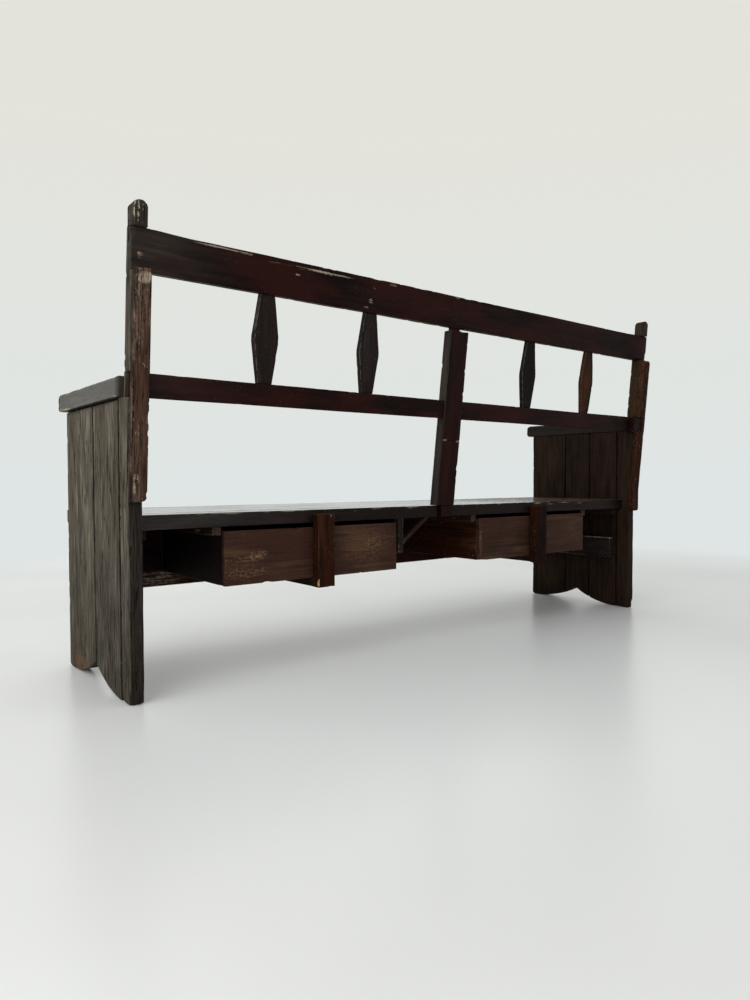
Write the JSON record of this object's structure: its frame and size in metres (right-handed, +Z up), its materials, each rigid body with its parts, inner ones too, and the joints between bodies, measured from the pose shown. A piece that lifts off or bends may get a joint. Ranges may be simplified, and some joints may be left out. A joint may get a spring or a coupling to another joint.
{
  "type": "pull-out bench bed",
  "caption": "Wooden bench bed with a railed, slatted back, plank ends with armrests, a seat leaf that slides forward on bearers and two drawers under the seat.",
  "frame": {"origin": "on the floor, in the middle of the footprint's bounding box", "axes": "+X to the right seen from the front, along the bench; +Y towards the back; +Z up"},
  "size_m": [1.924, 0.5396, 1.058],
  "materials": {
    "weathered_planks": "weathered grey-brown wood",
    "armrest_wood": "worn grey-brown wood",
    "batten_wood": "worn red-brown stained wood",
    "dark_rail_wood": "dark red-brown paint, worn at the edges",
    "slat_wood": "dark grey-brown stained wood",
    "seat_wood": "brown varnished wood",
    "frame_wood": "bare brown wood",
    "drawer_wood": "bare mid-brown wood",
    "peg_wood": "bare wood",
    "iron": "rusty wrought iron"
  },
  "bodies": {
    "bench": {"right_front_plank": "weathered_planks", "right_rear_plank": "weathered_planks", "right_rear_post": "weathered_planks", "left_front_plank": "weathered_planks", "left_middle_plank": "weathered_planks", "left_rear_plank": "weathered_planks", "left_rear_post": "weathered_planks", "right_armrest": "armrest_wood", "left_armrest": "armrest_wood", "right_back_batten": "batten_wood", "left_back_batten": "batten_wood", "right_hanging_batten": "batten_wood", "left_hanging_batten": "batten_wood", "top_rail": "dark_rail_wood", "mid_rail": "dark_rail_wood", "centre_post": "dark_rail_wood", "back_slat_1": "slat_wood", "back_slat_2": "slat_wood", "back_slat_3": "slat_wood", "back_slat_4": "slat_wood", "seat_rear_rail": "seat_wood", "fixed_seat_board_1": "seat_wood", "fixed_seat_board_2": "seat_wood", "right_ledger": "frame_wood", "left_ledger": "frame_wood", "right_seat_cleat": "frame_wood", "left_seat_cleat": "frame_wood", "front_lower_rail": "frame_wood", "front_stile_right": "frame_wood", "front_stile_middle": "frame_wood", "front_stile_left": "frame_wood", "guide_hanger": "frame_wood", "knee_brace": "frame_wood", "end_panel_dowels": "peg_wood", "armrest_pegs": "peg_wood", "back_pegs": "peg_wood", "iron_nails": "iron", "right_drawer_runner": "frame_wood", "left_drawer_runner": "frame_wood"},
    "leaf": {"leaf_board_1": "seat_wood", "leaf_board_2": "seat_wood", "leaf_nosing": "seat_wood", "leaf_bearer_1": "frame_wood", "leaf_bearer_2": "frame_wood", "leaf_bearer_3": "frame_wood", "leaf_bearer_4": "frame_wood", "leaf_pegs": "peg_wood"},
    "right_drawer": {"right_drawer_front": "drawer_wood", "right_drawer_back": "drawer_wood", "right_drawer_right_side": "drawer_wood", "right_drawer_left_side": "drawer_wood", "right_drawer_bottom": "drawer_wood", "right_drawer_knob": "drawer_wood"},
    "left_drawer": {"left_drawer_front": "drawer_wood", "left_drawer_back": "drawer_wood", "left_drawer_right_side": "drawer_wood", "left_drawer_left_side": "drawer_wood", "left_drawer_bottom": "drawer_wood", "left_drawer_knob": "drawer_wood"}
  },
  "joints": [
    {"name": "leaf_slide", "type": "slide", "parent": "bench", "child": "leaf", "axis": [0, -1, 0], "range_m": [0, 0.3]},
    {"name": "right_drawer_slide", "type": "slide", "parent": "bench", "child": "right_drawer", "axis": [0, -1, 0], "range_m": [0, 0.3]},
    {"name": "left_drawer_slide", "type": "slide", "parent": "bench", "child": "left_drawer", "axis": [0, -1, 0], "range_m": [0, 0.3]}
  ]
}
